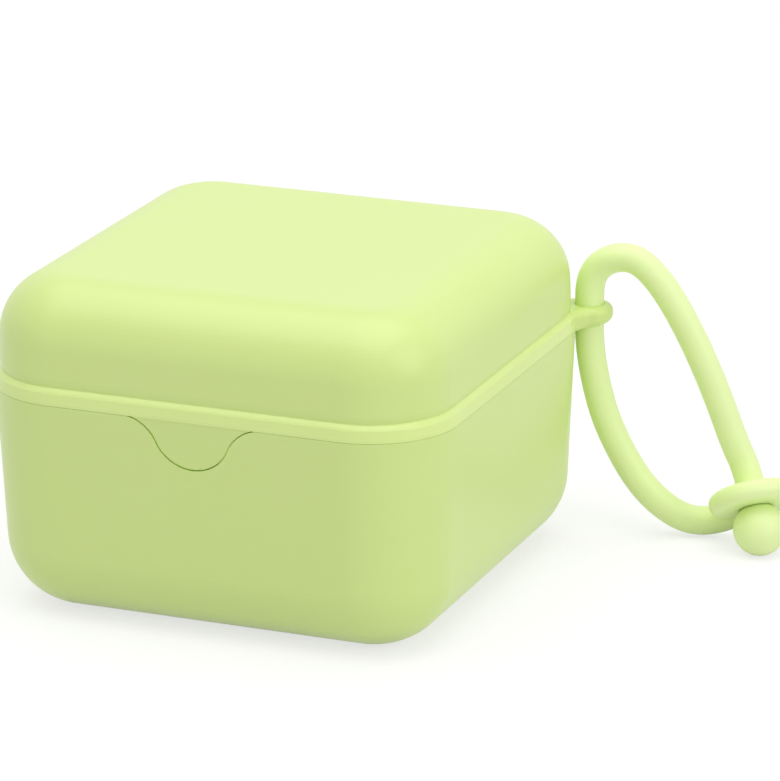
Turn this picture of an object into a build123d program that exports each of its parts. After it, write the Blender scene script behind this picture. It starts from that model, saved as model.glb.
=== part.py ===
from build123d import *
import os
from math import asin, cos, degrees, pi, radians, sin, tan

# A square travel case with rounded corners that sterilizes and carries two pacifiers: a drafted base
# that holds a little water, a hinged lid whose rim carries a bead and a thumb tab, a perforated rack
# that keeps the pacifiers above the water, and a soft strap looped through a lug on the base's corner.
# Millimetres. Front is -Y, right is +X, and the origin is on the table under the middle of the case.

# --- driving dimensions ---------------------------------------------------------------------------
CASE_WIDTH = 88.0  # square, measured on the lid's walls at the rim
CASE_HEIGHT = 63.5  # closed
RIM_Z = 42.4  # where the lid meets the base
CORNER_RADIUS = 15.6  # upright corners, at the rim
DRAFT = 1.25  # lean of the lid's walls and of the base's inside, degrees
BASE_PROUD = 0.5  # how far the base's rim stands outside the lid's walls
BASE_DRAFT = 2.4  # lean of the base's outside
TOP_ROUND = 11.8  # between the lid's walls and its top
BOTTOM_ROUND = 14.0  # between the base's walls and its floor
BASE_WALL = 2.6  # from the lid's walls to the base's inside
LID_WALL = 2.2
SEAM = 0.05  # daylight between the closed rims
OVERRUN = 1.0  # how far cuts start outside the faces they open

BEAD_HEIGHT = 3.1  # band round the lid's rim
BEAD_PROUD = 0.8
BEAD_ROUND = 0.7

LIP_WALL = 1.1  # upstand on the base, inside the lid's rim and as high as the bead
GROOVE_GAP = 0.5  # lip to the lid's rim, so that the lid can swing
GROOVE_ROOM = 0.3  # over the lip
SEAL_HEIGHT = 1.2
SEAL_WIDTH = 1.0
SEAL_GAP = 0.15  # over the lip
SEAL_OUT = 0.1  # how far the seal stands outside the lip

TAB_WIDTH = 27.8  # between the points where the flares level out, just under the bead
TAB_LEVEL_Z = RIM_Z - 0.35
TAB_DEPTH = 8.7  # below that level
TAB_FLARE = 7.4  # radius of the two flares
TAB_LEAD = 0.3  # how far the flares run on level
TAB_THICKNESS = 0.8
TAB_LEAN = 4.6  # into the base's wall, degrees
TAB_SINK = 0.2  # of its root in the lid's rim
TAB_EDGE = 0.25
TAB_GAP = 0.3

HINGE_Y = 47.5
HINGE_Z = 43.8
KNUCKLE_RADIUS = 2.4
KNUCKLE_LENGTH = 9.0  # of each of the base's two
HINGE_LENGTH = 36.0
KNUCKLE_GAP = 0.3
WEB_RUN = 6.6  # how far the knuckles' webs run down, or up, the wall
WEB_SINK = 0.6  # and how deep they root in it
WEB_ANGLE = 36.0  # where a web's back meets its knuckle, degrees below or above the pin
PIN_RADIUS = 1.2
PIN_CLEARANCE = 0.05
PIN_RECESS = 0.3  # of its ends in the knuckles
PIN_CHAMFER = 0.25

VENT_LENGTH = 8.0
VENT_HEIGHT = 1.6
VENT_X = 22.0
VENT_Z = 50.0

STRAP_DIAMETER = 5.5
LUG_HOLE = (44.5, 39.7)
LUG_RADIUS = 4.5
LUG_ROOT = 8.1  # half the width of its root on the corner
LUG_DEPTH = 4.1  # of the root inside the corner
LUG_SHOULDER = 20.0  # where the root's flanks meet the ring, degrees behind its widest point
LUG_GAP = 0.3
LUG_ROUND = 0.8

RACK_Z = 17.0  # top of the rack's plate
RACK_PLATE = 2.0
RACK_GAP = 0.8  # to the base's walls
RACK_RIM = (1.6, 1.8)  # thickness and height above the plate
RACK_DIVIDER = (2.4, 30.0, 14.0)  # between the two pacifiers, also the grip to lift the rack by
RACK_HOLE = 2.6  # radius
RACK_PITCH = 9.0
RACK_ROWS = 8
LEG_RADIUS = 2.2
LEG_PITCH = 36.0

EYELET_RADIUS = 8.6
EYELET_THICKNESS = 3.8
EYELET_ROUND = 1.7
EYELET_TILT = (0.361, -0.455, -0.815)  # way the strap runs through it, down to the ball
BALL_RADIUS = 5.05
BALL_CENTRE = (79.5, 38.1, 5.05)  # rests on the table
EYELET_TO_BALL = 6.0

# the strap's route: out of the eyelet's rim, up through the lug, over and down through the eyelet
STRAP_ROUTE = [
    (74.0, 45.1, 6.1),
    (69.1, 45.8, 3.4),
    (63.2, 44.6, 3.3),
    (58.1, 43.0, 6.8),
    (54.1, 41.9, 11.4),
    (50.7, 41.1, 17.0),
    (47.8, 40.4, 23.2),
    (45.9, 39.9, 29.9),
    (44.6, 39.7, 36.9),
    (44.5, 39.7, 43.6),
    (44.6, 39.7, 50.9),
    (48.1, 39.9, 55.2),
    (53.3, 40.3, 55.7),
    (57.4, 40.6, 52.1),
    (61.1, 40.9, 46.7),
    (64.5, 41.4, 40.4),
    (67.5, 41.8, 33.9),
    (70.2, 42.3, 27.1),
    (72.6, 42.7, 20.3),
    (75.4, 43.2, 14.2),
    (78.1, 40.0, 8.3),
]

# --- worked out from them --------------------------------------------------------------------------
HALF = CASE_WIDTH / 2
BASE_HALF = HALF + BASE_PROUD
BASE_TOP = RIM_Z - SEAM
BEAD_TOP = RIM_Z + BEAD_HEIGHT
LIP_HALF = HALF - BASE_WALL + LIP_WALL
GROOVE_HALF = LIP_HALF + GROOVE_GAP
GROOVE_TOP = BEAD_TOP + GROOVE_ROOM
SEAL_HALF = LIP_HALF + SEAL_OUT
SEAL_Z = BEAD_TOP + SEAL_GAP
SEAL_TOP = SEAL_Z + SEAL_HEIGHT
KNUCKLE_MIDDLE = HINGE_LENGTH - 2 * (KNUCKLE_LENGTH + KNUCKLE_GAP)
WEB_Y = HINGE_Y + KNUCKLE_RADIUS * cos(radians(WEB_ANGLE))
WEB_RISE = KNUCKLE_RADIUS * sin(radians(WEB_ANGLE))
RACK_HALF = HALF - BASE_WALL - (BASE_TOP - RACK_Z + RACK_PLATE) * tan(radians(DRAFT)) - RACK_GAP
TAB_PLANE = Plane(
    (0, -BASE_HALF, RIM_Z),
    x_dir=(1, 0, 0),
    z_dir=(0, -cos(radians(TAB_LEAN)), -sin(radians(TAB_LEAN))),
)
EYELET_PLANE = Plane(
    Vector(*BALL_CENTRE) - Vector(*EYELET_TILT).normalized() * EYELET_TO_BALL,
    z_dir=EYELET_TILT,
)


def bend_radii(route):
    """Each corner's arc is as large as its two runs allow."""
    radii = []
    for before, here, after in zip(route, route[1:], route[2:]):
        run_in = Vector(*here) - Vector(*before)
        run_out = Vector(*after) - Vector(*here)
        turn = radians(run_in.get_angle(run_out))
        radii.append(0.45 * min(run_in.length, run_out.length) / tan(turn / 2))
    return radii


STRAP_RADII = bend_radii(STRAP_ROUTE)


def case_outline(half):
    """The case's rounded square, as far inside or outside the walls as half says."""
    RectangleRounded(2 * half, 2 * half, CORNER_RADIUS - (HALF - half))


def tab_outline(margin):
    """Thumb tab: two flares run out level and meet a round lower edge; margin makes it larger."""
    half = TAB_WIDTH / 2
    side = half + TAB_LEAD + margin
    root = TAB_SINK + margin
    level = TAB_LEVEL_Z - RIM_Z
    # the flares and the lower edge are circles that touch, which settles the lower one's radius
    lower = (half**2 + TAB_DEPTH**2) / (2 * TAB_DEPTH) - TAB_FLARE
    turn = degrees(asin(half / (TAB_FLARE + lower)))
    flare_y = level - TAB_FLARE
    lower_y = level - TAB_DEPTH + lower
    with BuildLine() as bell:
        Line((-side, root), (-side, level - margin))
        Line((-side, level - margin), (-half, level - margin))
        CenterArc((-half, flare_y), TAB_FLARE - margin, 90, -turn)
        CenterArc((0, lower_y), lower + margin, 270 - turn, 2 * turn)
        CenterArc((half, flare_y), TAB_FLARE - margin, 90 + turn, -turn)
        Line((half, level - margin), (side, level - margin))
        Line((side, level - margin), (side, root))
        Line((side, root), (-side, root))
    make_face(bell.edges())


def lug_outline(margin):
    """Strap lug in plan: a ring's outline with a wider root on the rear right corner."""
    hole = Vector(*LUG_HOLE)
    corner = Vector(HALF - CORNER_RADIUS, HALF - CORNER_RADIUS)
    out = (hole - corner).normalized()
    side = Vector(-out.Y, out.X)
    ring = LUG_RADIUS + margin
    root = corner + out * (CORNER_RADIUS - LUG_DEPTH)
    half_root = side * (LUG_ROOT + margin)
    shoulder = hole - out * ring * sin(radians(LUG_SHOULDER))
    half_ring = side * ring * cos(radians(LUG_SHOULDER))
    Polygon(
        root - half_root,
        shoulder - half_ring,
        shoulder + half_ring,
        root + half_root,
        align=None,
    )
    with Locations(LUG_HOLE):
        Circle(ring)


# --- hollows ---------------------------------------------------------------------------------------
# The inside of the base holds the water and the rack; the inside of the lid covers the pacifiers.
with BuildPart() as base_hollow:
    with BuildSketch(Plane.XY.offset(BASE_TOP)):
        case_outline(HALF - BASE_WALL)
    extrude(amount=-(BASE_TOP - BASE_WALL), taper=DRAFT)
    fillet(base_hollow.faces().sort_by(Axis.Z)[0].edges(), BOTTOM_ROUND - BASE_WALL)

with BuildPart() as lid_hollow:
    with BuildSketch(Plane.XY.offset(SEAL_TOP)):
        case_outline(HALF - LID_WALL)
    extrude(amount=CASE_HEIGHT - LID_WALL - SEAL_TOP, taper=DRAFT)
    fillet(lid_hollow.faces().sort_by(Axis.Z)[-1].edges(), TOP_ROUND - LID_WALL)

# --- base ------------------------------------------------------------------------------------------
with BuildPart() as base_shell:
    # drafted tub, rounded into its floor
    with BuildSketch(Plane.XY.offset(BASE_TOP)):
        case_outline(BASE_HALF)
    extrude(amount=-BASE_TOP, taper=BASE_DRAFT)
    fillet(base_shell.faces().sort_by(Axis.Z)[0].edges(), BOTTOM_ROUND)

    add(base_hollow.part, mode=Mode.SUBTRACT)

    # upstand that the lid's rim drops over
    with BuildSketch(Plane.XY.offset(BASE_TOP)):
        case_outline(LIP_HALF)
        with BuildSketch(mode=Mode.SUBTRACT):
            case_outline(HALF - BASE_WALL)
    extrude(amount=BEAD_TOP - BASE_TOP)

    # shallow bed for the lid's thumb tab
    with BuildSketch(TAB_PLANE.offset(OVERRUN)):
        tab_outline(TAB_GAP)
    extrude(amount=-(OVERRUN + TAB_THICKNESS + TAB_GAP), mode=Mode.SUBTRACT)

    # lug for the strap, level with the lid's bead
    with BuildSketch(Plane.XY.offset(BASE_TOP)):
        lug_outline(0)
        with BuildSketch(mode=Mode.SUBTRACT):
            case_outline(HALF - BASE_WALL)
    extrude(amount=BEAD_TOP - BASE_TOP)
    lug_edges = base_shell.edges().filter_by(GeomType.CIRCLE).filter_by(
        lambda e: abs(e.radius - LUG_RADIUS) < 0.01
    )
    fillet(lug_edges, LUG_ROUND)
    with BuildSketch(Plane.XY.offset(BASE_TOP - OVERRUN)):
        with Locations(LUG_HOLE):
            Circle(STRAP_DIAMETER / 2)
    extrude(amount=BEAD_HEIGHT + 2 * OVERRUN + SEAM, mode=Mode.SUBTRACT)

    # two knuckles with webs down the rear wall
    for x in (-HINGE_LENGTH / 2, HINGE_LENGTH / 2 - KNUCKLE_LENGTH):
        with BuildSketch(Plane.YZ.offset(x)):
            with Locations((HINGE_Y, HINGE_Z)):
                Circle(KNUCKLE_RADIUS)
            Polygon(
                (HALF - WEB_SINK, BASE_TOP - SEAM),
                (HINGE_Y, BASE_TOP - SEAM),
                (WEB_Y, HINGE_Z - WEB_RISE),
                (HALF - WEB_SINK, BASE_TOP - WEB_RUN),
                align=None,
            )
        extrude(amount=KNUCKLE_LENGTH)
    with BuildSketch(Plane.YZ.offset(-HALF)):
        with Locations((HINGE_Y, HINGE_Z)):
            Circle(PIN_RADIUS)
    extrude(amount=CASE_WIDTH, mode=Mode.SUBTRACT)
base_shell.part.label = "base_shell"

# --- lid -------------------------------------------------------------------------------------------
with BuildPart() as lid_shell:
    # drafted cap, rounded into its top
    with BuildSketch(Plane.XY.offset(RIM_Z)):
        case_outline(HALF)
    extrude(amount=CASE_HEIGHT - RIM_Z, taper=DRAFT)
    fillet(lid_shell.faces().sort_by(Axis.Z)[-1].edges(), TOP_ROUND)

    # bead round the rim
    with BuildSketch(Plane.XY.offset(RIM_Z)):
        case_outline(HALF + BEAD_PROUD)
    extrude(amount=BEAD_HEIGHT)
    bead_face = lid_shell.faces().filter_by_position(Axis.Z, BEAD_TOP - 0.01, BEAD_TOP + 0.01)
    fillet(bead_face[0].outer_wire().edges(), BEAD_ROUND)
    rim_face = lid_shell.faces().sort_by(Axis.Z)[0]
    fillet(rim_face.outer_wire().edges(), BEAD_ROUND / 2)

    # hollow, with a groove for the seal and a wider one at the rim for the base's upstand
    add(lid_hollow.part, mode=Mode.SUBTRACT)
    with BuildSketch(Plane.XY.offset(RIM_Z)):
        case_outline(SEAL_HALF)
    extrude(amount=SEAL_TOP - RIM_Z, mode=Mode.SUBTRACT)
    with BuildSketch(Plane.XY.offset(RIM_Z)):
        case_outline(GROOVE_HALF)
    extrude(amount=GROOVE_TOP - RIM_Z, mode=Mode.SUBTRACT)

    # thumb tab, flush with the base's front wall at the rim and a little inside it at its lower edge
    with BuildSketch(TAB_PLANE):
        tab_outline(0)
    extrude(amount=-TAB_THICKNESS)
    tab_front = lid_shell.faces().filter_by(TAB_PLANE).sort_by(Axis.Y)[0]
    fillet(tab_front.edges().filter_by(GeomType.CIRCLE), TAB_EDGE)

    # notch that clears the base's strap lug
    with BuildSketch(Plane.XY.offset(RIM_Z - OVERRUN)):
        lug_outline(LUG_GAP)
    extrude(amount=OVERRUN + BEAD_HEIGHT + LUG_GAP, mode=Mode.SUBTRACT)

    # middle knuckle with a web up the rear wall
    with BuildSketch(Plane.YZ.offset(-KNUCKLE_MIDDLE / 2)):
        with Locations((HINGE_Y, HINGE_Z)):
            Circle(KNUCKLE_RADIUS)
        Polygon(
            (HALF - WEB_SINK, RIM_Z + SEAM),
            (HINGE_Y - KNUCKLE_RADIUS / 2, RIM_Z + SEAM),
            (HINGE_Y, HINGE_Z),
            (WEB_Y, HINGE_Z + WEB_RISE),
            (HALF - WEB_SINK, BEAD_TOP + WEB_RUN),
            align=None,
        )
    extrude(amount=KNUCKLE_MIDDLE)
    with BuildSketch(Plane.YZ.offset(-KNUCKLE_MIDDLE)):
        with Locations((HINGE_Y, HINGE_Z)):
            Circle(PIN_RADIUS + PIN_CLEARANCE)
    extrude(amount=2 * KNUCKLE_MIDDLE, mode=Mode.SUBTRACT)

    # steam vents, one each side of the hinge
    with BuildSketch(Plane.XZ.offset(-HALF - OVERRUN)):
        with Locations((-VENT_X, VENT_Z), (VENT_X, VENT_Z)):
            SlotOverall(VENT_LENGTH, VENT_HEIGHT)
    extrude(amount=OVERRUN + 2 * LID_WALL, mode=Mode.SUBTRACT)
lid_shell.part.label = "lid_shell"

# --- hinge pin -------------------------------------------------------------------------------------
with BuildPart() as hinge_pin:
    with BuildSketch(Plane.YZ.offset(-HINGE_LENGTH / 2 + PIN_RECESS)):
        with Locations((HINGE_Y, HINGE_Z)):
            Circle(PIN_RADIUS)
    extrude(amount=HINGE_LENGTH - 2 * PIN_RECESS)
    chamfer(hinge_pin.edges().filter_by(GeomType.CIRCLE), PIN_CHAMFER)
hinge_pin.part.label = "hinge_pin"

# --- rim seal --------------------------------------------------------------------------------------
with BuildPart() as rim_seal:
    with BuildSketch(Plane.XY.offset(SEAL_Z)):
        case_outline(SEAL_HALF)
        with BuildSketch(mode=Mode.SUBTRACT):
            case_outline(SEAL_HALF - SEAL_WIDTH)
    extrude(amount=SEAL_HEIGHT)
rim_seal.part.label = "rim_seal"

# --- drain rack ------------------------------------------------------------------------------------
with BuildPart() as drain_rack:
    # perforated plate with a low rim
    with BuildSketch(Plane.XY.offset(RACK_Z - RACK_PLATE)):
        case_outline(RACK_HALF)
        with GridLocations(RACK_PITCH, RACK_PITCH, RACK_ROWS, RACK_ROWS):
            Circle(RACK_HOLE, mode=Mode.SUBTRACT)
    extrude(amount=RACK_PLATE)
    with BuildSketch(Plane.XY.offset(RACK_Z)):
        case_outline(RACK_HALF)
        with BuildSketch(mode=Mode.SUBTRACT):
            case_outline(RACK_HALF - RACK_RIM[0])
    extrude(amount=RACK_RIM[1])

    # divider between the two pacifiers
    with BuildSketch(Plane.XY.offset(RACK_Z)):
        SlotOverall(RACK_DIVIDER[1], RACK_DIVIDER[0], rotation=90)
    extrude(amount=RACK_DIVIDER[2])
    fillet(drain_rack.faces().sort_by(Axis.Z)[-1].edges(), RACK_DIVIDER[0] / 3)

    # four legs on the base's floor
    with BuildSketch(Plane.XY.offset(BASE_WALL)):
        with GridLocations(LEG_PITCH, LEG_PITCH, 2, 2):
            Circle(LEG_RADIUS)
    extrude(amount=RACK_Z - RACK_PLATE - BASE_WALL)
drain_rack.part.label = "drain_rack"

# --- strap -----------------------------------------------------------------------------------------
# One silicone cord that ends in a ball; an eyelet on its other end lets the ball through.
with BuildPart() as strap_cord:
    with BuildLine() as strap_route:
        FilletPolyline(*STRAP_ROUTE, radius=STRAP_RADII)
    with BuildSketch(Plane(strap_route.line @ 0, z_dir=strap_route.line % 0)):
        Circle(STRAP_DIAMETER / 2)
    sweep()
strap_cord.part.label = "strap_cord"

with BuildPart() as strap_eyelet:
    with BuildSketch(EYELET_PLANE):
        Circle(EYELET_RADIUS)
    extrude(amount=EYELET_THICKNESS / 2, both=True)
    fillet(strap_eyelet.edges().filter_by(GeomType.CIRCLE), EYELET_ROUND)
    with BuildSketch(EYELET_PLANE):
        Circle(STRAP_DIAMETER / 2)
    extrude(amount=EYELET_THICKNESS, both=True, mode=Mode.SUBTRACT)
strap_eyelet.part.label = "strap_eyelet"

with BuildPart() as strap_ball:
    with Locations(BALL_CENTRE):
        Sphere(BALL_RADIUS)
strap_ball.part.label = "strap_ball"

# --- files and the strap's figures ------------------------------------------------------------------
os.makedirs("parts", exist_ok=True)
for piece in (
    base_shell,
    lid_shell,
    hinge_pin,
    rim_seal,
    drain_rack,
    strap_cord,
    strap_eyelet,
    strap_ball,
):
    export_step(piece.part, f"parts/{piece.part.label}.step")

section = pi * (STRAP_DIAMETER / 2) ** 2
print("strap radii", [round(r, 1) for r in STRAP_RADII])
print("strap length", round(strap_route.wire().length, 1))
print("strap volume over section times length",
      round(strap_cord.part.volume / (section * strap_route.wire().length), 4))
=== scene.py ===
import math
from math import cos, radians, sin

import bmesh
import bpy
from mathutils import Matrix, Vector


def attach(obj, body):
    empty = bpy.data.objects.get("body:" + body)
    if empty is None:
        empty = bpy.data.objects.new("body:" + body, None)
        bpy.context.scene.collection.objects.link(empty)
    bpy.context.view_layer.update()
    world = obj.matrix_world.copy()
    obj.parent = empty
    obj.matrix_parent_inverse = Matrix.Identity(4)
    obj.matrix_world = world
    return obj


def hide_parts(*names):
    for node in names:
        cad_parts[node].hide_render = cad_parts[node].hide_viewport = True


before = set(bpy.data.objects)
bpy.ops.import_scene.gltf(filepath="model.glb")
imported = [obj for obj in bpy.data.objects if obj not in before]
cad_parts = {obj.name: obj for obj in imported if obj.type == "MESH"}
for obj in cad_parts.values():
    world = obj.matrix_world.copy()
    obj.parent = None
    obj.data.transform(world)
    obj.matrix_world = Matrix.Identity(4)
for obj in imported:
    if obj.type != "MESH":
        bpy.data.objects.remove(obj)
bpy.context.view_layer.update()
bpy.ops.object.select_all(action="DESELECT")

# --- Camera ----------------------------------------------------------------------------------------
# A long lens nearly a metre away, right of the front corner and a little above the lid. It is turned
# aside so that the case sits left of the middle and the strap has room on the right.
CAMERA_ROUND = radians(23.67)
CAMERA_UP = radians(18.36)
CAMERA_ROLL = radians(-0.83)
CAMERA_AWAY = 0.9194
LENS_MM = 227.6
SENSOR_MM = 36
CASE_MIDDLE = Vector((0, 0, 0.0318))
AIM_ASIDE = 0.01843
AIM_ABOVE = 0.00295

back = Vector((sin(CAMERA_ROUND) * cos(CAMERA_UP), -cos(CAMERA_ROUND) * cos(CAMERA_UP), sin(CAMERA_UP)))
level = Vector((cos(CAMERA_ROUND), sin(CAMERA_ROUND), 0))
right = level * cos(CAMERA_ROLL) + back.cross(level) * sin(CAMERA_ROLL)
above = back.cross(right)
stand = CASE_MIDDLE + back * CAMERA_AWAY
aim = CASE_MIDDLE + right * AIM_ASIDE + above * AIM_ABOVE
back = (stand - aim).normalized()
right = above.cross(back).normalized()
above = back.cross(right)
bpy.ops.object.camera_add(location=stand, rotation=Matrix((right, above, back)).transposed().to_euler())
camera = bpy.context.object
camera.name = "camera"
camera.data.lens = LENS_MM
camera.data.sensor_width = SENSOR_MM
bpy.context.scene.camera = camera

# --- Strap cord ------------------------------------------------------------------------------------
# One round silicone cord, moulded in one piece with its ball and its eyelet. It is threaded up through
# the case's lug and bends over in a loop; the ball end is pulled down through the eyelet on the table.
STRAP_THICK = 0.0055
STRAP_ROUTE = [
    (0.0740, 0.0447, 0.0060),
    (0.0691, 0.0448, 0.0032),
    (0.0632, 0.0433, 0.0030),
    (0.0581, 0.0416, 0.0065),
    (0.0541, 0.0406, 0.0111),
    (0.0507, 0.0402, 0.0167),
    (0.0477, 0.0399, 0.0231),
    (0.0458, 0.0398, 0.0299),
    (0.0446, 0.0397, 0.0369),
    (0.0445, 0.0397, 0.0436),
    (0.0446, 0.0397, 0.0509),
    (0.0481, 0.0399, 0.0546),
    (0.0533, 0.0403, 0.0552),
    (0.0574, 0.0406, 0.0519),
    (0.0611, 0.0409, 0.0467),
    (0.0645, 0.0414, 0.0404),
    (0.0675, 0.0418, 0.0339),
    (0.0702, 0.0423, 0.0271),
    (0.0726, 0.0427, 0.0203),
    (0.0754, 0.0432, 0.0142),
    (0.0781, 0.0400, 0.0083),
]


def linear(colour):
    """An sRGB hex colour as the linear numbers that a shader works with."""
    shares = [int(colour[i : i + 2], 16) / 255 for i in (1, 3, 5)]
    return [s / 12.92 if s <= 0.04045 else ((s + 0.055) / 1.055) ** 2.4 for s in shares] + [1]


def add(tree, kind, feeds=None, **settings):
    """Add a shader node; feeds maps each socket to a value or to the (node, output) that feeds it."""
    made = tree.nodes.new(kind)
    for key, value in settings.items():
        setattr(made, key, value)
    for socket, value in (feeds or {}).items():
        if isinstance(value, tuple) and isinstance(value[0], bpy.types.Node):
            tree.links.new(value[0].outputs[value[1]], made.inputs[socket])
        else:
            made.inputs[socket].default_value = value
    return made


CLOUD_SCALE = 45.0  # per metre
POLISH_SPREAD = 0.05  # how far the roughness goes each way over the grain


def moulded(name, colour, shade, rough, grain_mm, lift_mm, **gloss):
    """A moulded soft surface: nearly even colour, and the fine grain that its mould was eroded with."""
    material = bpy.data.materials.new(name)
    material.use_nodes = True
    tree = material.node_tree
    shader = tree.nodes["Principled BSDF"]
    place = add(tree, "ShaderNodeTexCoord")
    # pigment and wall thickness vary a little over centimetres
    cloud = add(
        tree, "ShaderNodeTexNoise", {"Vector": (place, "Object"), "Scale": CLOUD_SCALE, "Detail": 2.0}
    )
    mix = add(tree, "ShaderNodeMix", {"Factor": (cloud, "Fac")}, data_type="RGBA")
    mix.inputs["A"].default_value = linear(colour)
    mix.inputs["B"].default_value = linear(shade)
    tree.links.new(mix.outputs["Result"], shader.inputs["Base Color"])
    # spark-eroded grain: rounded pits, drawn as coarse as they need to be to show
    grain = add(
        tree,
        "ShaderNodeTexNoise",
        {"Vector": (place, "Object"), "Scale": 1000 / grain_mm, "Detail": 3.0, "Roughness": 0.55},
    )
    polish = add(
        tree,
        "ShaderNodeMapRange",
        {"Value": (grain, "Fac"), "To Min": rough - POLISH_SPREAD, "To Max": rough + POLISH_SPREAD},
    )
    tree.links.new(polish.outputs["Result"], shader.inputs["Roughness"])
    bump = add(
        tree, "ShaderNodeBump", {"Height": (grain, "Fac"), "Strength": 0.6, "Distance": lift_mm / 1000}
    )
    tree.links.new(bump.outputs["Normal"], shader.inputs["Normal"])
    for socket, value in gloss.items():
        shader.inputs[socket.replace("_", " ")].default_value = value
    return material


# Silicone rubber, matte from a blasted mould. The eye sees a soft, waxy skin with no hard highlight.
silicone = moulded(
    "silicone_moulded_pistachio",
    "#EBFCB6",
    "#E9FBB2",
    rough=0.42,
    grain_mm=0.45,
    lift_mm=0.010,
    IOR=1.43,
)

line = bpy.data.curves.new("strap_cord", "CURVE")
line.dimensions = "3D"
spline = line.splines.new("NURBS")
spline.points.add(len(STRAP_ROUTE) - 1)
for point, place in zip(spline.points, STRAP_ROUTE):
    point.co = (*place, 1)
spline.order_u = 3
spline.use_endpoint_u = True
spline.resolution_u = 16
line.bevel_depth = STRAP_THICK / 2
line.bevel_resolution = 10
line.use_fill_caps = True
line.materials.append(silicone)
strap_cord = bpy.data.objects.new("strap_cord_silicone", line)
bpy.context.scene.collection.objects.link(strap_cord)
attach(strap_cord, "base")
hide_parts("strap_cord")

# --- Strap eyelet ----------------------------------------------------------------------------------
# The thick disc on the cord's first end, moulded with it. Its rim is well rounded and its hole is
# stretched round the cord's other end, just above the ball.
EYELET_RADIUS = 0.0086
EYELET_THICK = 0.0038
EYELET_ROUND = 0.0017
EYELET_LIP = 0.0006  # radius of its hole's edges
EYELET_WAY = Vector((0.361, -0.455, -0.815)).normalized()
EYELET_STEPS = 9  # round its rim
BALL_MIDDLE = Vector((0.0795, 0.0381, 0.00505))
EYELET_TO_BALL = 0.006
EDGE_STEPS = 4  # in a small rounded edge of any piece
SQUARELY = 0.999  # how nearly a face must look the way that is asked for
MERGE_WITHIN = 1e-7
LEVEL_WITHIN = 1e-6
ON_AXIS = 1e-5  # how near to an axis, or to a round about it, something counts as on it
UP = Vector((0, 0, 1))
DOWN = -UP


def pick_faces(wanted):
    """Select the faces of the mesh being shaped that are wanted, by their middle and normal."""
    bpy.ops.mesh.select_mode(type="FACE")
    bpy.ops.mesh.select_all(action="DESELECT")
    mesh = bmesh.from_edit_mesh(bpy.context.object.data)
    mesh.normal_update()
    for face in mesh.faces:
        face.select_set(bool(wanted(face.calc_center_median(), face.normal)))
    bmesh.update_edit_mesh(bpy.context.object.data)


def pick_facing(way):
    """Select the faces of the mesh being shaped that look squarely this way."""
    pick_faces(lambda middle, normal: normal.dot(way) > SQUARELY)


def step(inward, along):
    """Carry the selected face on: narrower by inward, and so far along its normal."""
    bpy.ops.mesh.inset(thickness=inward, depth=along, use_even_offset=True)


def run(length, heading):
    """Carry it on straight; heading 90 is along its normal, 0 is inwards and -90 is back against it."""
    step(length * cos(radians(heading)), length * sin(radians(heading)))


def bend(radius, start, end, steps=EDGE_STEPS):
    """Carry it on round an arc from one heading to another."""
    turn = 1 if end > start else -1
    for i in range(steps):
        a = radians(start + (end - start) * i / steps)
        b = radians(start + (end - start) * (i + 1) / steps)
        step(turn * radius * (sin(b) - sin(a)), turn * radius * (cos(a) - cos(b)))


def put_down():
    """Leave edit mode with nothing selected, ready for a new primitive."""
    if bpy.context.object and bpy.context.object.mode == "EDIT":
        bpy.ops.object.mode_set(mode="OBJECT")
    bpy.ops.object.select_all(action="DESELECT")


def finish_mesh(piece, material, smooth=35):
    """Clean normals, smooth shading and the piece's material."""
    bpy.context.view_layer.objects.active = piece
    bpy.ops.object.mode_set(mode="EDIT")
    bpy.ops.mesh.select_all(action="SELECT")
    bpy.ops.mesh.remove_doubles(threshold=MERGE_WITHIN)
    bpy.ops.mesh.normals_make_consistent(inside=False)
    bpy.ops.object.mode_set(mode="OBJECT")
    bpy.ops.object.shade_smooth_by_angle(angle=radians(smooth))
    piece.data.materials.clear()
    piece.data.materials.append(material)


def rod(sides, radius, depth, middle=(0, 0, 0), turn=(0, 0, 0)):
    """A plain round rod along Z, or turned from it: a start, or a shape to join or cut with."""
    put_down()
    bpy.ops.mesh.primitive_cylinder_add(
        vertices=sides, radius=radius, depth=depth, location=middle, rotation=turn
    )
    bpy.ops.object.transform_apply()
    return bpy.context.object


eyelet = rod(sides=72, radius=EYELET_RADIUS, depth=EYELET_THICK - 2 * EYELET_ROUND)
eyelet.name = "strap_eyelet_silicone"
bpy.ops.object.mode_set(mode="EDIT")
hole_wall = EYELET_RADIUS - EYELET_ROUND - EYELET_LIP - STRAP_THICK / 2
for way in (UP, DOWN):
    pick_facing(way)
    bend(EYELET_ROUND, 90, 0, EYELET_STEPS)
    run(hole_wall, 0)
    bend(EYELET_LIP, 0, -90)
    run(EYELET_THICK / 2 - EYELET_LIP, -90)
pick_faces(lambda middle, normal: middle.length < ON_AXIS)
bpy.ops.mesh.delete(type="FACE")
bpy.ops.mesh.select_mode(type="VERT")
finish_mesh(eyelet, silicone)
eyelet.rotation_euler = EYELET_WAY.to_track_quat("Z", "Y").to_euler()
eyelet.location = BALL_MIDDLE - EYELET_WAY * EYELET_TO_BALL
bpy.ops.object.transform_apply()
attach(eyelet, "base")
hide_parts("strap_eyelet")

# --- Strap ball ------------------------------------------------------------------------------------
# The ball on the cord's other end. It flares into the cord with a short neck, so that it can be pulled
# through the eyelet, and it carries the strap's end on the table.
BALL_RADIUS = 0.00505
BALL_CAP = 0.86  # the share of the radius beyond which it is opened for the neck
NECK_RINGS = ((0.00048, 1.02), (0.0012, 0.96))  # how far each is drawn out, and its width to the last

put_down()
bpy.ops.mesh.primitive_uv_sphere_add(segments=64, ring_count=40, radius=BALL_RADIUS)
ball = bpy.context.object
ball.name = "strap_ball_silicone"
bpy.ops.object.mode_set(mode="EDIT")
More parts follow.
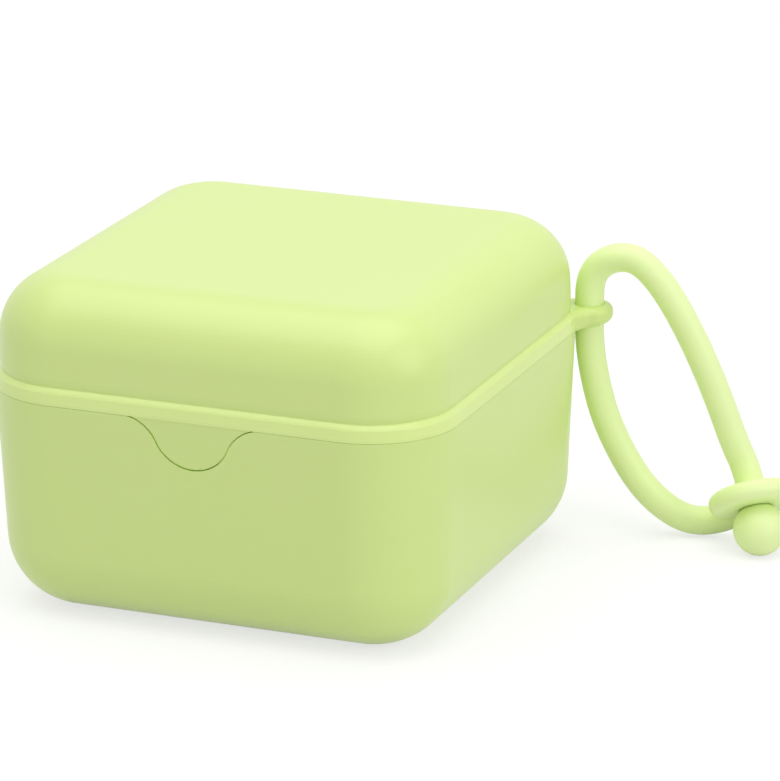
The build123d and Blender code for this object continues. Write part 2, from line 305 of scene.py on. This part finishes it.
# the cap where the cord comes in is opened, and drawn out into the neck
pick_faces(lambda middle, normal: middle.z > BALL_RADIUS * BALL_CAP)
bpy.ops.mesh.dissolve_faces()
for drawn, width in NECK_RINGS:
    bpy.ops.mesh.extrude_region_move(TRANSFORM_OT_translate={"value": (0, 0, drawn)})
    bpy.ops.transform.resize(value=(width, width, 1), center_override=(0, 0, 0))
finish_mesh(ball, silicone, smooth=60)
ball.rotation_euler = (-EYELET_WAY).to_track_quat("Z", "Y").to_euler()
ball.location = BALL_MIDDLE
bpy.ops.object.transform_apply()
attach(ball, "base")
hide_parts("strap_ball")

# --- Base ------------------------------------------------------------------------------------------
# The lower half of the case, injection moulded in polypropylene: a drafted tub with a generous round
# into its floor, and a thin upstand inside the rim that the lid drops over.
HALF = 0.044  # from the middle to the lid's wall, at the rim
CORNER = 0.0156
DRAFT = 1.25  # of the lid's walls and of the base's inside, degrees
BASE_HALF = HALF + 0.00077  # nearly flush with the lid's bead
BASE_DRAFT = 2.65
RIM = 0.0424
BASE_RIM = 0.04235
BASE_WALL = 0.0026
BASE_ROUND = 0.014
BASE_ROUND_STEPS = 26
BASE_EDGE = 0.00004
BEAD_TOP = 0.0455
LIP_HALF = 0.0425  # to the outside of the upstand
LIP_WALL = 0.0011
LIP_EDGE = 0.00025
INSIDE_STEPS = 16  # round the floor inside, and the lid's roof
HIDDEN_STEPS = 3  # in an edge that is out of sight
FLOOR_RING = 0.0004  # a narrow flat ring beside a round keeps its shading off the flat face
CORNER_STEPS = 40
WALL_CUTS = 11
SLAB = 0.0005  # the slab that each shell starts from


def thicken(by):
    """Carry the flat face being shaped on into a closed slab."""
    bpy.ops.mesh.select_mode(type="FACE")
    bpy.ops.mesh.select_all(action="SELECT")
    bpy.ops.mesh.extrude_region_move(TRANSFORM_OT_translate={"value": by})
    bpy.ops.mesh.select_all(action="SELECT")
    bpy.ops.mesh.normals_make_consistent(inside=False)


def rounded_square(name, half, top, thick):
    """A slab with the case's plan at this half-width, left in edit mode."""
    put_down()
    bpy.ops.mesh.primitive_plane_add(size=2 * half, location=(0, 0, top))
    slab = bpy.context.object
    slab.name = name
    bpy.ops.object.transform_apply()
    bpy.ops.object.mode_set(mode="EDIT")
    bpy.ops.mesh.select_mode(type="VERT")
    bpy.ops.mesh.select_all(action="SELECT")
    bpy.ops.mesh.bevel(offset=CORNER - HALF + half, segments=CORNER_STEPS, affect="VERTICES")
    bpy.ops.mesh.select_mode(type="EDGE")
    bpy.ops.mesh.select_all(action="DESELECT")
    mesh = bmesh.from_edit_mesh(slab.data)
    for edge in mesh.edges:
        edge.select_set(edge.calc_length() > CORNER)
    bmesh.update_edit_mesh(slab.data)
    bpy.ops.mesh.subdivide(number_cuts=WALL_CUTS)
    thicken((0, 0, -thick))
    return slab


# Polypropylene with a soft-touch finish, from a finely spark-eroded mould. The eye sees an even, dry
# skin that only turns pale and satiny where it is seen at a low angle.
PISTACHIO = "#D7EA94"
PISTACHIO_SHADE = "#D5E990"
soft_touch = moulded(
    "polypropylene_soft_touch_pistachio",
    PISTACHIO,
    PISTACHIO_SHADE,
    rough=0.34,
    grain_mm=0.40,
    lift_mm=0.007,
    IOR=1.49,
)

base = rounded_square("case_base", BASE_HALF, BASE_RIM - BASE_EDGE, SLAB)
pick_facing(DOWN)
outside_round = BASE_ROUND * (1 - cos(radians(90 - BASE_DRAFT)))
run((BASE_RIM - BASE_EDGE - SLAB - outside_round) / cos(radians(BASE_DRAFT)), 90 - BASE_DRAFT)
bend(BASE_ROUND, 90 - BASE_DRAFT, 0, BASE_ROUND_STEPS)
run(FLOOR_RING, 0)
pick_facing(UP)
bend(BASE_EDGE, 90, 0)
run(BASE_HALF - LIP_HALF - BASE_EDGE - LIP_EDGE, 0)
bend(LIP_EDGE, 0, 90, HIDDEN_STEPS)
run(BEAD_TOP - BASE_RIM - 2 * LIP_EDGE, 90)
bend(LIP_EDGE, 90, 0)
run(LIP_WALL - 2 * LIP_EDGE, 0)
bend(LIP_EDGE, 0, -90)
run(BEAD_TOP - BASE_RIM - LIP_EDGE, -90)
inside_round = BASE_ROUND - BASE_WALL
inside_turn = inside_round * (1 - cos(radians(90 - DRAFT)))
run((BASE_RIM - BASE_WALL - inside_turn) / cos(radians(DRAFT)), DRAFT - 90)
bend(inside_round, DRAFT - 90, 0, INSIDE_STEPS)
run(FLOOR_RING, 0)

# the thumb tab closes into a bed in the front wall, with about 1 mm of room behind it
TAB_HALF = 0.0139  # to the point where a flare turns level
TAB_DEEP = 0.00915
TAB_FLARE = 0.0074  # radius of the flares
TAB_LEAD = 0.0006  # how far the flares run on level
TAB_LEVEL = RIM + 0.0001  # so the flares run into the bead before they are level
TAB_HIDDEN = 0.0431  # its root is out of sight in the lid's bead
TAB_ARC_STEPS = 16
BED_GAP = 0.00003  # all round the tab
BED_FLOOR = -0.0427
CLEAR = 0.001  # about how far a cut starts outside the face that it opens


def outline_face(name, outline):
    """A flat face with this outline: a disc whose points are drawn onto it, left in edit mode."""
    put_down()
    bpy.ops.mesh.primitive_circle_add(vertices=len(outline), fill_type="NGON")
    blank = bpy.context.object
    blank.name = name
    bpy.ops.object.mode_set(mode="EDIT")
    mesh = bmesh.from_edit_mesh(blank.data)
    for vertex, point in zip(mesh.verts, outline):
        vertex.co = point
    bmesh.update_edit_mesh(blank.data)
    return blank


def combine(piece, tool, operation):
    """Join a closed shape to a piece (UNION), or cut it out of the piece (DIFFERENCE)."""
    put_down()
    bpy.context.view_layer.objects.active = piece
    change = piece.modifiers.new("combine", "BOOLEAN")
    change.operation = operation
    change.solver = "EXACT"
    change.object = tool
    bpy.ops.object.modifier_apply(modifier=change.name)
    bpy.data.objects.remove(tool)


def tab_outline(margin):
    """The thumb tab's outline, from its right root to its left: two flares and a round lower edge."""
    deep = TAB_DEEP + margin
    flare = TAB_FLARE - margin
    lower = (TAB_HALF**2 + TAB_DEEP**2) / (2 * TAB_DEEP) - TAB_FLARE + margin
    turn = math.asin(TAB_HALF / (flare + lower))
    reach = TAB_HALF + TAB_LEAD + margin
    side = [(reach, TAB_HIDDEN), (reach, TAB_LEVEL - margin)]
    for i in range(TAB_ARC_STEPS):
        a = turn * i / TAB_ARC_STEPS
        side.append((TAB_HALF - flare * sin(a), TAB_LEVEL - margin - flare * (1 - cos(a))))
    for i in range(TAB_ARC_STEPS):
        a = turn * (1 - i / TAB_ARC_STEPS)
        side.append((lower * sin(a), TAB_LEVEL - deep + lower * (1 - cos(a))))
    return side + [(0, TAB_LEVEL - deep)] + [(-x, z) for x, z in reversed(side)]


bed = outline_face("bed", [(x, -BASE_HALF - CLEAR, z) for x, z in tab_outline(BED_GAP)])
thicken((0, BED_FLOOR + BASE_HALF + CLEAR, 0))
combine(base, bed, "DIFFERENCE")

# the strap's lug stands out from the rear right corner, level with the lid's bead
LUG_HOLE = Vector((0.0445, 0.0397, 0))
LUG_TURN = math.atan2(LUG_HOLE.y - HALF + CORNER, LUG_HOLE.x - HALF + CORNER)
LUG_RADIUS = 0.0045
LUG_LEAN = radians(30.3)  # of its flanks, which narrow towards the ring
LUG_ROOT = Vector((-0.0064, 0.00705))  # from the hole's middle to the end of a flank, in the lip
LUG_FILLET = 0.004  # between flank and ring
LUG_TOP = BEAD_TOP - 0.00003
LUG_EDGE = 0.00145
LUG_EDGE_STEPS = 7
LUG_DEEPER = 0.0003  # its underside at the ring's end, below the base's rim
LUG_SLOPE = 0.087  # and from there down to its root
LUG_BORE = 0.00272
LUG_BORE_EDGE = 0.00025
LUG_BORE_STEPS = 5
ROOT_BACK = 5  # times the margin: how much further back the root of a wider outline is
FILLET_STEPS = 6
RING_STEPS = 40
CUTTER_LONG = 0.01  # longer than any hole that a rod is to cut


def lug_face(name, margin, level):
    """The lug in plan, pointing along +X from the hole's middle: flanks, fillets and a round ring."""
    ring = LUG_RADIUS + margin
    fillet = LUG_FILLET - margin
    normal = Vector((sin(LUG_LEAN), cos(LUG_LEAN)))
    along = Vector((cos(LUG_LEAN), -sin(LUG_LEAN)))
    root = LUG_ROOT + Vector((0, margin / cos(LUG_LEAN)))
    root -= ROOT_BACK * margin * Vector((1, -math.tan(LUG_LEAN)))
    out = normal.dot(root) + fillet
    middle = normal * out - along * math.sqrt((ring + fillet) ** 2 - out**2)
    start = math.atan2(-normal.y, -normal.x)
    end = math.atan2(-middle.y, -middle.x)
    side = [root]
    for i in range(FILLET_STEPS + 1):
        a = start + (end - start) * i / FILLET_STEPS
        side.append(middle + fillet * Vector((cos(a), sin(a))))
    reach = math.atan2(middle.y, middle.x)
    for i in range(1, RING_STEPS // 2):
        a = reach * (1 - 2 * i / RING_STEPS)
        side.append(ring * Vector((cos(a), sin(a))))
    outline = side + [Vector((ring, 0))] + [Vector((p.x, -p.y)) for p in reversed(side)]
    return outline_face(name, [(p.x, p.y, level) for p in outline])


def pick_edges(wanted):
    """Select the edges of the mesh being shaped that are wanted, by their two ends."""
    bpy.ops.mesh.select_mode(type="EDGE")
    bpy.ops.mesh.select_all(action="DESELECT")
    mesh = bmesh.from_edit_mesh(bpy.context.object.data)
    for edge in mesh.edges:
        edge.select_set(bool(wanted(edge.verts[0].co, edge.verts[1].co)))
    bmesh.update_edit_mesh(bpy.context.object.data)


def level_edge(a, b):
    """Whether an edge of the lug runs round its top or bottom, outside its root."""
    return abs(a.z - b.z) < LEVEL_WITHIN and max(a.x, b.x) > LUG_ROOT.x + LEVEL_WITHIN


def bore_edge(a, b):
    """Whether an edge runs round an end of the lug's bore."""
    on_bore = [abs(end.xy.length - LUG_BORE) < ON_AXIS for end in (a, b)]
    return abs(a.z - b.z) < LEVEL_WITHIN and all(on_bore)


def set_lug(piece, aside=0):
    """Turn a shape made at the lug's hole into its place, moved aside by so much."""
    put_down()
    piece.select_set(True)
    bpy.context.view_layer.objects.active = piece
    piece.rotation_euler = (0, 0, LUG_TURN)
    piece.location = LUG_HOLE + Vector((-sin(LUG_TURN), cos(LUG_TURN), 0)) * aside
    bpy.ops.object.transform_apply()


lug = lug_face("lug", 0, LUG_TOP)
thicken((0, 0, BASE_RIM - LUG_TOP))
pick_edges(level_edge)
bpy.ops.mesh.bevel(offset=LUG_EDGE, segments=LUG_EDGE_STEPS, affect="EDGES")
bore = rod(sides=56, radius=LUG_BORE, depth=CUTTER_LONG, middle=(0, 0, LUG_TOP))
combine(lug, bore, "DIFFERENCE")
bpy.ops.object.mode_set(mode="EDIT")
pick_edges(bore_edge)
bpy.ops.mesh.bevel(offset=LUG_BORE_EDGE, segments=LUG_BORE_STEPS, affect="EDGES")
mesh = bmesh.from_edit_mesh(lug.data)
for vertex in mesh.verts:
    if vertex.co.z < (LUG_TOP + BASE_RIM) / 2:
        vertex.co.z -= LUG_DEEPER + LUG_SLOPE * (LUG_RADIUS - vertex.co.x)
bmesh.update_edit_mesh(lug.data)
set_lug(lug)
combine(base, lug, "UNION")

# two hinge knuckles, with webs down the rear wall
HINGE_Y = 0.0475
HINGE_Z = 0.0438
KNUCKLE_RADIUS = 0.0024
KNUCKLE_LONG = 0.009
HINGE_LONG = 0.036
KNUCKLE_EDGE = 0.0003
KNUCKLE_GAP = 0.0003  # between two knuckles
KNUCKLE_STEPS = 32
WEB_IN = HALF - 0.0006  # where a web roots in the wall
WEB_OUTER = 36  # where a web's back leaves its knuckle, degrees
WEB_LONG = 0.0066
WEB_GAP = 0.0001
PIN_BORE = 0.00122


def knuckle(name, x, length, start, end, corners):
    """A knuckle: an arc about the pin from one angle to another, closed over the web's corners."""
    arc = []
    for i in range(KNUCKLE_STEPS + 1):
        a = radians(start + (end - start) * i / KNUCKLE_STEPS)
        arc.append((HINGE_Y + KNUCKLE_RADIUS * cos(a), HINGE_Z + KNUCKLE_RADIUS * sin(a)))
    # rounding its ends carries them on to its full length
    made = outline_face(name, [(x + KNUCKLE_EDGE, y, z) for y, z in arc + corners])
    thicken((length - 2 * KNUCKLE_EDGE, 0, 0))
    for way in (Vector((1, 0, 0)), Vector((-1, 0, 0))):
        pick_facing(way)
        bend(KNUCKLE_EDGE, 90, 0)
    return made


web_top = BASE_RIM - WEB_GAP
web_meets = 180 + math.degrees(math.asin((HINGE_Z - web_top) / KNUCKLE_RADIUS))
for x in (-HINGE_LONG / 2, HINGE_LONG / 2 - KNUCKLE_LONG):
    web = [(WEB_IN, web_top), (WEB_IN, BASE_RIM - WEB_LONG)]
    combine(base, knuckle("knuckle", x, KNUCKLE_LONG, -WEB_OUTER, web_meets, web), "UNION")


def pin_bore():
    """A cutter for the pin's bore, longer than the hinge."""
    return rod(
        sides=40,
        radius=PIN_BORE,
        depth=HINGE_LONG + 2 * CLEAR,
        middle=(0, HINGE_Y, HINGE_Z),
        turn=(0, radians(90), 0),
    )


combine(base, pin_bore(), "DIFFERENCE")
finish_mesh(base, soft_touch)
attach(base, "base")
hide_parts("base_shell")

# --- Lid -------------------------------------------------------------------------------------------
# The upper half, moulded in the same polypropylene, with a bead round its rim that hides the seam, and
# a groove inside the rim for the seal and the base's upstand.
LID_TOP = 0.0635
LID_WALL = 0.0022
LID_ROUND = 0.0118
LID_ROUND_STEPS = 28
LID_RING = 0.0012  # the flat ring beside its round, outside
ROOF_RING = 0.0008  # and inside
BEAD_PROUD = 0.0008
BEAD_LEAN = 8  # of the bead's face, degrees
BEAD_SHOULDER = 38  # heading at which the bead's crown meets the cove over it, degrees
BEAD_COVE = 0.0003  # radius between its crown and the wall
BEAD_UNDER = 0.00004  # radius of its lower edge
CROWN_STEPS = 8
COVE_STEPS = 5
CORNER_FURTHER = 0.0115  # how much further out a corner's wall is than a side's
WAIST_DEEP = 0.0003  # how far the wall draws in just above the bead
WAIST_HIGH = 0.0018
WAIST_STEPS = 6
GROOVE_HALF = 0.043
GROOVE_TOP = 0.0458
GROOVE_EDGE = 0.0002
SEAL_HALF = 0.0426
SEAL_TOP = 0.04685

bead_lean = radians(BEAD_LEAN)
shoulder = radians(BEAD_SHOULDER)
cove_high = BEAD_COVE * (cos(shoulder) - sin(radians(DRAFT)))
cove_wide = BEAD_COVE * (cos(radians(DRAFT)) - sin(shoulder))
wall_lean = math.tan(radians(DRAFT)) * (BEAD_TOP + cove_high - RIM)
bead_low = RIM + BEAD_UNDER + SLAB
crown_high = cos(shoulder) - sin(bead_lean)
bead_crown = BEAD_PROUD + wall_lean - cove_wide - (BEAD_TOP - bead_low) * math.tan(bead_lean)
bead_crown /= cos(bead_lean) - sin(shoulder) - math.tan(bead_lean) * crown_high
bead_high = BEAD_TOP - bead_crown * crown_high
lid = rounded_square("case_lid", HALF + BEAD_PROUD, bead_low, SLAB)
pick_facing(UP)
run((bead_high - bead_low) / cos(bead_lean), 90 - BEAD_LEAN)
bend(bead_crown, 90 - BEAD_LEAN, BEAD_SHOULDER, CROWN_STEPS)
bend(BEAD_COVE, BEAD_SHOULDER, 90 - DRAFT, COVE_STEPS)
for i in range(WAIST_STEPS):
    run(WAIST_HIGH / WAIST_STEPS, 90 - DRAFT)
top_turn = LID_ROUND * (1 - cos(radians(90 - DRAFT)))
wall_high = LID_TOP - BEAD_TOP - cove_high - WAIST_HIGH - top_turn
run(wall_high / cos(radians(DRAFT)), 90 - DRAFT)
bend(LID_ROUND, 90 - DRAFT, 0, LID_ROUND_STEPS)
run(LID_RING, 0)
# the wall draws in towards the bead from above, and the bead's crown follows it from below
mesh = bmesh.from_edit_mesh(lid.data)
for vertex in mesh.verts:
    above = (vertex.co.z - BEAD_TOP) / WAIST_HIGH
    below = (BEAD_TOP - vertex.co.z) / (BEAD_TOP - bead_high)
    if 0 <= above < 1 or 0 < below < 1:
        drawn = WAIST_DEEP * ((1 - above) ** 2 if above >= 0 else 1 - below)
        vertex.co.xy *= 1 - drawn / HALF
bmesh.update_edit_mesh(lid.data)
pick_facing(DOWN)
bend(BEAD_UNDER, 90, 0)
run(HALF + BEAD_PROUD - GROOVE_HALF - BEAD_UNDER - GROOVE_EDGE, 0)
bend(GROOVE_EDGE, 0, -90, HIDDEN_STEPS)
run(GROOVE_TOP - RIM - GROOVE_EDGE, -90)
run(GROOVE_HALF - SEAL_HALF, 0)
run(SEAL_TOP - GROOVE_TOP, -90)
run(SEAL_HALF - HALF + LID_WALL - GROOVE_EDGE, 0)
bend(GROOVE_EDGE, 0, DRAFT - 90, HIDDEN_STEPS)
roof_round = LID_ROUND - LID_WALL
roof_turn = roof_round * (1 - cos(radians(90 - DRAFT)))
run((LID_TOP - LID_WALL - SEAL_TOP - GROOVE_EDGE - roof_turn) / cos(radians(DRAFT)), DRAFT - 90)
bend(roof_round, DRAFT - 90, 0, INSIDE_STEPS)
run(ROOF_RING, 0)

# The same polypropylene on the bead, where the mould is smoother, in a copy whose colour is painted
# paler:
# painted light that stands in for the light the bead's sloping face catches from above. The eye sees it
# a little paler, with a satin sheen.
bead_painted_paler = moulded(
    "polypropylene_satin_painted_paler_pistachio",
    "#E0F29C",
    "#DFF198",
    rough=0.30,
    grain_mm=0.40,
    lift_mm=0.004,
    IOR=1.49,
)

# the thumb tab runs down out of the bead and leans into its bed, so that its lower edge stands back
TAB_THICK = 0.00065
TAB_EDGE = 0.00045  # less than TAB_LEAD, or it crosses itself there
TAB_BACK = 0.00005  # behind the base's wall, so that its root stays inside the bead
TAB_LEAN = radians(-3.3)
TAB_EDGE_STEPS = 5

tab = outline_face("tab", [(x, -BASE_HALF + TAB_BACK + TAB_THICK, z) for x, z in tab_outline(0)])
thicken((0, TAB_EDGE - TAB_THICK, 0))
pick_facing(Vector((0, -1, 0)))
bend(TAB_EDGE, 90, 0, TAB_EDGE_STEPS)
bpy.ops.mesh.select_all(action="SELECT")
bpy.ops.transform.rotate(value=TAB_LEAN, orient_axis="X", center_override=(0, -BASE_HALF, RIM))
combine(lid, tab, "UNION")

# a notch in the rim clears the lug; it is open below, with more room behind the lug for the swing
NOTCH_GAP = 0.00014
NOTCH_ASIDE = 0.00011

notch = lug_face("notch", NOTCH_GAP, LUG_TOP + NOTCH_GAP / 2)
thicken((0, 0, RIM - CLEAR - LUG_TOP))
pick_edges(lambda a, b: level_edge(a, b) and a.z > LUG_TOP)
bpy.ops.mesh.bevel(offset=LUG_EDGE, segments=LUG_EDGE_STEPS, affect="EDGES")
set_lug(notch, NOTCH_ASIDE)
combine(lid, notch, "DIFFERENCE")

# the middle knuckle's web runs up the wall
lid_web_foot = RIM + WEB_GAP
web_meets = -180 + math.degrees(math.asin((HINGE_Z - lid_web_foot) / KNUCKLE_RADIUS))
middle_long = HINGE_LONG - 2 * KNUCKLE_LONG - 2 * KNUCKLE_GAP
web = [(WEB_IN, lid_web_foot), (WEB_IN, BEAD_TOP + WEB_LONG)]
combine(lid, knuckle("knuckle", -middle_long / 2, middle_long, WEB_OUTER, web_meets, web), "UNION")
combine(lid, pin_bore(), "DIFFERENCE")

# two slots in the rear wall let the steam out
VENT_LONG = 0.008
VENT_HIGH = 0.0016
VENT_X = 0.022
VENT_Z = 0.050
VENT_STEPS = 8  # round each end

for x in (-VENT_X, VENT_X):
    slot = []
    for end in (1, -1):
        for i in range(VENT_STEPS + 1):
            a = radians(90 - 180 * i / VENT_STEPS)
            reach = VENT_LONG / 2 - VENT_HIGH / 2 + VENT_HIGH / 2 * cos(a)
            slot.append((x + end * reach, HALF + CLEAR, VENT_Z + end * VENT_HIGH / 2 * sin(a)))
    vent = outline_face("vent", slot)
    thicken((0, -CLEAR - 2 * LID_WALL, 0))
    combine(lid, vent, "DIFFERENCE")
finish_mesh(lid, soft_touch)
# the bead's outer faces take the copy whose colour is painted paler: painted light on the bead
lid.data.materials.append(bead_painted_paler)
for face in lid.data.polygons:
    middle = face.center
    outward = max(abs(middle.x), abs(middle.y), middle.xy.length - CORNER_FURTHER)
    if RIM - LEVEL_WITHIN < middle.z < BEAD_TOP and outward > GROOVE_HALF:
        face.material_index = 1
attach(lid, "lid")
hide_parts("lid_shell")

# --- Rim seal --------------------------------------------------------------------------------------
# A ring of soft silicone, pressed into the groove above the lid's rim. The base's upstand closes on it
# and keeps the water in.
SEAL_BOTTOM = 0.04565
SEAL_WIDE = 0.001
SEAL_EDGE = 0.0002

# Clear silicone rubber, moulded with a smooth skin. The eye sees a milky, slightly wet ring.
seal_silicone = moulded(
    "silicone_translucent",
    "#E9EEDF",
    "#E2E8D6",
    rough=0.34,
    grain_mm=0.45,
    lift_mm=0.004,
    IOR=1.41,
    Transmission_Weight=0.35,
)

seal_high = SEAL_TOP - SEAL_BOTTOM
seal = rounded_square("rim_seal_silicone", SEAL_HALF, SEAL_TOP - SEAL_EDGE, seal_high - 2 * SEAL_EDGE)
for way in (UP, DOWN):
    pick_facing(way)
    bend(SEAL_EDGE, 90, 0)
    run(SEAL_WIDE - 2 * SEAL_EDGE, 0)
    bend(SEAL_EDGE, 0, -90)
    run(seal_high / 2 - SEAL_EDGE, -90)
pick_faces(lambda middle, normal: middle.xy.length < ON_AXIS)
bpy.ops.mesh.delete(type="FACE")
finish_mesh(seal, seal_silicone)
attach(seal, "lid")
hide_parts("rim_seal")

# --- Drain rack ------------------------------------------------------------------------------------
# The lift-out rack that keeps two pacifiers above the water: a perforated plate with a low rim, a
# divider that is also its grip, and four legs. It is moulded in one, in uncoloured polypropylene.
RACK_TOP = 0.017
RACK_PLATE = 0.002
RACK_GAP = 0.0008  # to the base's walls
RACK_HALF = HALF - BASE_WALL - (BASE_RIM - RACK_TOP + RACK_PLATE) * math.tan(radians(DRAFT)) - RACK_GAP
RACK_RIM_WIDE = 0.0016
RACK_RIM_HIGH = 0.0018
RACK_EDGE = 0.0004
RACK_RING = 0.001  # the flat ring beside its lower edge
RACK_HOLE = 0.0026
RACK_PITCH = 0.009
RACK_ROWS = 8
DIVIDER_LONG = 0.030
DIVIDER_WIDE = 0.0024
DIVIDER_HIGH = 0.014
DIVIDER_STEPS = 12  # round each end
DIVIDER_TOP_STEPS = 6
LEG_RADIUS = 0.0022
LEG_AWAY = 0.018

# Uncoloured polypropylene, moulded and left as it is. The eye sees a milky white with a low, soft sheen.
natural = moulded(
    "polypropylene_natural",
    "#EDEFE6",
    "#E8EBDF",
    rough=0.40,
    grain_mm=0.45,
    lift_mm=0.006,
    IOR=1.49,
)

rack_rim = RACK_TOP + RACK_RIM_HIGH
rack = rounded_square("drain_rack_moulded", RACK_HALF, rack_rim - RACK_EDGE, RACK_PLATE)
pick_facing(DOWN)
run(RACK_RIM_HIGH - 2 * RACK_EDGE, 90)
bend(RACK_EDGE, 90, 0)
run(RACK_RING, 0)
pick_facing(UP)
bend(RACK_EDGE, 90, 0)
run(RACK_RIM_WIDE - 2 * RACK_EDGE, 0)
bend(RACK_EDGE, 0, -90)
run(RACK_RIM_HIGH - 2 * RACK_EDGE, -90)
bend(RACK_EDGE, -90, 0)

first = -RACK_PITCH * (RACK_ROWS - 1) / 2
drill = rod(sides=28, radius=RACK_HOLE, depth=CUTTER_LONG, middle=(first, first, RACK_TOP))
for axis in (0, 1):
    rows = drill.modifiers.new("rows", "ARRAY")
    rows.count = RACK_ROWS
    rows.use_relative_offset = False
    rows.use_constant_offset = True
    rows.constant_offset_displace = [RACK_PITCH if i == axis else 0 for i in range(3)]
    bpy.ops.object.modifier_apply(modifier=rows.name)
combine(rack, drill, "DIFFERENCE")

straight = (DIVIDER_LONG - DIVIDER_WIDE) / 2
blade = []
for end in (1, -1):
    for i in range(DIVIDER_STEPS + 1):
        a = radians(180 * i / DIVIDER_STEPS)
        place = Vector((DIVIDER_WIDE / 2 * cos(a), straight + DIVIDER_WIDE / 2 * sin(a))) * end
        blade.append((place.x, place.y, RACK_TOP - RACK_PLATE / 2))
divider_round = DIVIDER_WIDE / 3
divider = outline_face("divider", blade)
thicken((0, 0, RACK_PLATE / 2 + DIVIDER_HIGH - divider_round))
pick_facing(UP)
bend(divider_round, 90, 0, DIVIDER_TOP_STEPS)
combine(rack, divider, "UNION")

leg_high = RACK_TOP - RACK_PLATE / 2 - BASE_WALL
for x in (-LEG_AWAY, LEG_AWAY):
    for y in (-LEG_AWAY, LEG_AWAY):
        leg_middle = (x, y, BASE_WALL + (leg_high + RACK_EDGE) / 2)
        leg = rod(sides=36, radius=LEG_RADIUS, depth=leg_high - RACK_EDGE, middle=leg_middle)
        bpy.ops.object.mode_set(mode="EDIT")
        pick_facing(DOWN)
        bend(RACK_EDGE, 90, 0)
        combine(rack, leg, "UNION")
finish_mesh(rack, natural)
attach(rack, "rack")
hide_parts("drain_rack")

# --- Hinge pin -------------------------------------------------------------------------------------
# The rod through the three knuckles. It is turned from acetal dyed to match the case, and pressed into
# the outer two, so that the lid's knuckle turns on it.

# Acetal, turned and dyed through. The eye sees a smooth, slightly waxy skin.
acetal = moulded(
    "acetal_turned_pistachio",
    PISTACHIO,
    PISTACHIO_SHADE,
    rough=0.28,
    grain_mm=0.30,
    lift_mm=0.002,
    IOR=1.48,
)
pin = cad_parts["hinge_pin"]
for slot in pin.material_slots:
    slot.material = acetal

# --- Floor and light -------------------------------------------------------------------------------
# A white sweep that the case stands on, one large soft lamp overhead and a smaller one to the right.
# The paper and the room look whiter than the light that they give to the case.
PAPER_GREY = 0.8
SEEN_GREY = 0.35  # as the eye sees it, with the glow added
SEEN_GLOW = 0.68
ROOM_LIGHT = 0.51


def seen_straight(tree):
    """1 to the camera, in a reflection and through a clear piece, and 0 to all other light."""
    path = add(tree, "ShaderNodeLightPath")
    seen = (path, "Is Camera Ray")
    for ray in ("Is Glossy Ray", "Is Transmission Ray"):
        seen = (add(tree, "ShaderNodeMath", {0: seen, 1: (path, ray)}, operation="MAXIMUM"), "Value")
    return seen


put_down()
bpy.ops.mesh.primitive_plane_add(size=8)
floor = bpy.context.object
floor.name = "floor"
paper = bpy.data.materials.new("white_paper_sweep")
paper.use_nodes = True
tree = paper.node_tree
tree.nodes.remove(tree.nodes["Principled BSDF"])
sheet = add(tree, "ShaderNodeBsdfDiffuse", {"Color": [PAPER_GREY] * 3 + [1]})
thin = add(tree, "ShaderNodeBsdfDiffuse", {"Color": [SEEN_GREY] * 3 + [1]})
glow = add(tree, "ShaderNodeEmission", {"Color": (1, 1, 1, 1), "Strength": SEEN_GLOW})
shown = add(tree, "ShaderNodeAddShader", {0: (thin, 0), 1: (glow, 0)})
either = add(tree, "ShaderNodeMixShader", {0: seen_straight(tree), 1: (sheet, 0), 2: (shown, 0)})
tree.links.new(either.outputs[0], tree.nodes["Material Output"].inputs["Surface"])
floor.data.materials.append(paper)

world = bpy.context.scene.world or bpy.data.worlds.new("studio")
bpy.context.scene.world = world
world.use_nodes = True
tree = world.node_tree
tree.nodes.clear()
strength = add(
    tree, "ShaderNodeMapRange", {"Value": seen_straight(tree), "To Min": ROOM_LIGHT, "To Max": 1.0}
)
room = add(tree, "ShaderNodeBackground", {"Color": (1, 1, 1, 1), "Strength": (strength, "Result")})
add(tree, "ShaderNodeOutputWorld", {"Surface": (room, 0)})


def lamp(name, place, size, watts):
    """A square soft lamp that faces the case."""
    bpy.ops.object.light_add(type="AREA", location=place)
    light = bpy.context.object
    light.name = name
    light.rotation_euler = (Vector(place) - CASE_MIDDLE).to_track_quat("Z", "Y").to_euler()
    light.data.size = size
    light.data.energy = watts


lamp("overhead_lamp", (0.0, -0.08, 1.1), size=1.2, watts=8.0)
lamp("right_lamp", (1.2, -0.3, 0.6), size=0.8, watts=3.5)
bpy.context.scene.view_settings.view_transform = "Standard"

# --- Update ----------------------------------------------------------------------------------------
# The view layer is brought up to date.
bpy.context.view_layer.update()
